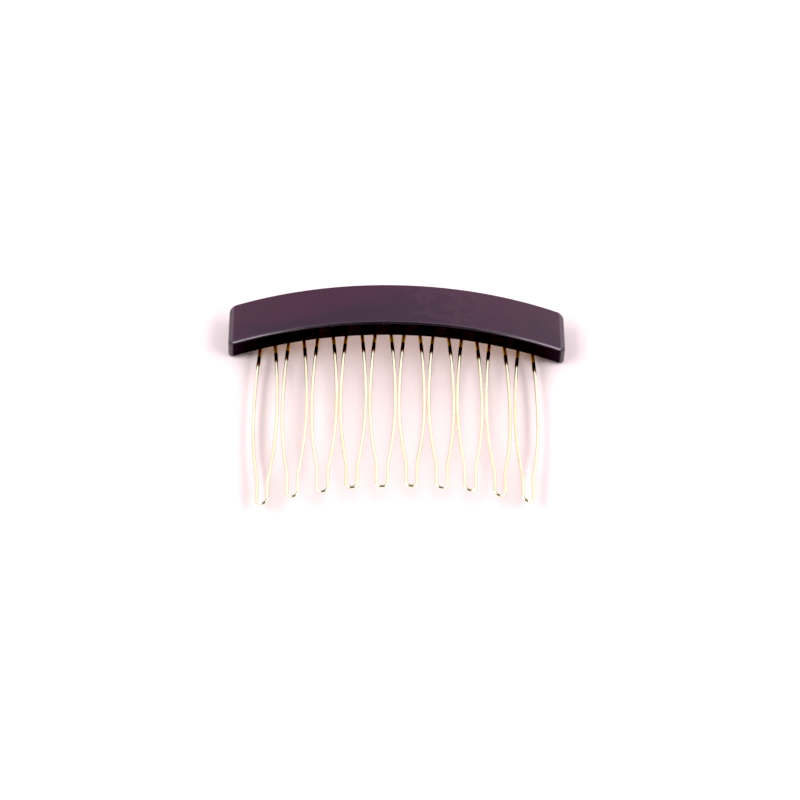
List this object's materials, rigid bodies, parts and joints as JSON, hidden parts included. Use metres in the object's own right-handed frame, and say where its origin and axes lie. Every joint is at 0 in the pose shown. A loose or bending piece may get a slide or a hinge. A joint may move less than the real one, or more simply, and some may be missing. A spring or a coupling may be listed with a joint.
{
  "type": "decorative hair comb",
  "caption": "Curved hair comb: a polished acetate bar with a row of bowed wire tines held in a folded brass spine channel behind it.",
  "frame": {"origin": "centre of the comb's bounding box, on the surface that the two ends of the bar rest on", "axes": "+X along the bar, +Y from the tine tips to the crown edge of the bar, +Z out of the convex face"},
  "size_m": [0.082, 0.0588, 0.0142],
  "materials": {
    "acetate": "polished dark aubergine cellulose acetate with a faint reddish cloud",
    "channel_brass": "gold-plated brass strip, folded, satin from rolling",
    "rivet_brass": "gold-plated brass rivet, polished head",
    "tine_wire": "polished pale gold plating on drawn brass wire"
  },
  "bodies": {
    "root": {"bar": "acetate", "spine_channel": "channel_brass", "rivet_left": "rivet_brass", "rivet_centre": "rivet_brass", "rivet_right": "rivet_brass", "tine_01": "tine_wire", "tine_02": "tine_wire", "tine_03": "tine_wire", "tine_04": "tine_wire", "tine_05": "tine_wire", "tine_06": "tine_wire", "tine_07": "tine_wire", "tine_08": "tine_wire", "tine_09": "tine_wire", "tine_10": "tine_wire"}
  },
  "joints": []
}
